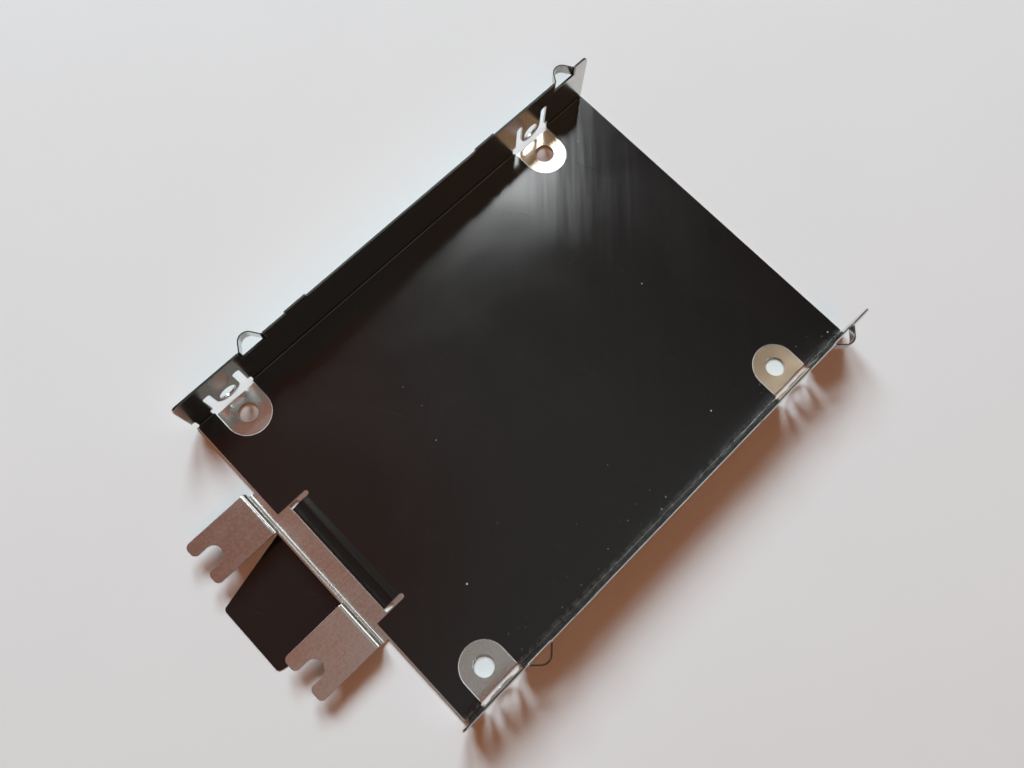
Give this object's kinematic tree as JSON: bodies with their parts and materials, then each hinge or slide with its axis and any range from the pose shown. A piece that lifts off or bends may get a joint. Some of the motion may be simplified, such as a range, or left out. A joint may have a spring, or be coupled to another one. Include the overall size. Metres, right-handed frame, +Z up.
{
  "type": "laptop hard drive caddy",
  "caption": "Folded steel tray for a laptop hard drive, with side screw tongues, forked ears and a glossy black film liner that ends in a pull tab.",
  "frame": {"origin": "centre of the four drive screw holes in the base, on the base's underside", "axes": "+X towards the open end where the drive's connector faces, away from the ears and pull tab; +Z up, from the base to the wall tops; +Y across, to the left when looking along +X"},
  "size_m": [0.1166, 0.0749, 0.014],
  "materials": {
    "sheet_steel": "satin",
    "black_film": "gloss"
  },
  "bodies": {
    "root": {"tray": "sheet_steel", "insulating_film": "black_film"}
  },
  "joints": []
}
